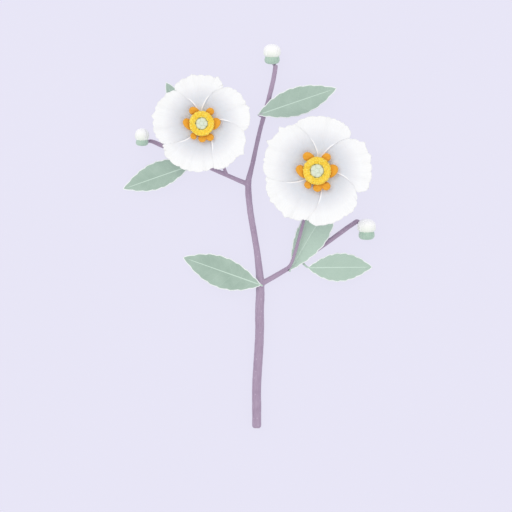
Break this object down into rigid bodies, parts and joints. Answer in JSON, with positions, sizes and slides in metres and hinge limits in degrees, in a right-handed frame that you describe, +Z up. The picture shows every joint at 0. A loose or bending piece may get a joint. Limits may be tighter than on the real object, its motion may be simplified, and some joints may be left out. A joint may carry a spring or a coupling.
{
  "type": "stewartia flower sprig",
  "caption": "Cut flowering stewartia sprig lying on its back: branching twig with open white flowers, round buds in green cups and toothed leaves.",
  "frame": {"origin": "middle of the sprig's underside, on the surface it lies on", "axes": "+Z up, the way the flowers face; +Y along the twig from its cut end to the top bud"},
  "size_m": [0.1654, 0.2496, 0.0268],
  "materials": {
    "bark": "matte",
    "leaf": "satin",
    "petal": "matte",
    "bud_petal": "matte",
    "calyx": "matte",
    "stamen": "matte",
    "anther": "satin",
    "pistil": "satin"
  },
  "bodies": {
    "root": {"twig": "bark", "leaf_upper_right": "leaf", "leaf_upper_left": "leaf", "leaf_left": "leaf", "leaf_lower_left": "leaf", "leaf_middle": "leaf", "leaf_lower_right": "leaf", "upper_flower_petal_1": "petal", "upper_flower_petal_2": "petal", "upper_flower_petal_3": "petal", "upper_flower_petal_4": "petal", "upper_flower_petal_5": "petal", "upper_flower_calyx": "calyx", "upper_flower_stamens": "stamen", "upper_flower_pistil": "pistil", "upper_flower_anther_1": "anther", "upper_flower_anther_2": "anther", "upper_flower_anther_3": "anther", "upper_flower_anther_4": "anther", "upper_flower_anther_5": "anther", "upper_flower_anther_6": "anther", "upper_flower_anther_7": "anther", "lower_flower_petal_1": "petal", "lower_flower_petal_2": "petal", "lower_flower_petal_3": "petal", "lower_flower_petal_4": "petal", "lower_flower_petal_5": "petal", "lower_flower_calyx": "calyx", "lower_flower_stamens": "stamen", "lower_flower_pistil": "pistil", "lower_flower_anther_1": "anther", "lower_flower_anther_2": "anther", "lower_flower_anther_3": "anther", "lower_flower_anther_4": "anther", "lower_flower_anther_5": "anther", "lower_flower_anther_6": "anther", "lower_flower_anther_7": "anther", "bud_top_petals": "bud_petal", "bud_top_calyx": "calyx", "bud_left_petals": "bud_petal", "bud_left_calyx": "calyx", "bud_right_petals": "bud_petal", "bud_right_calyx": "calyx"}
  },
  "joints": []
}
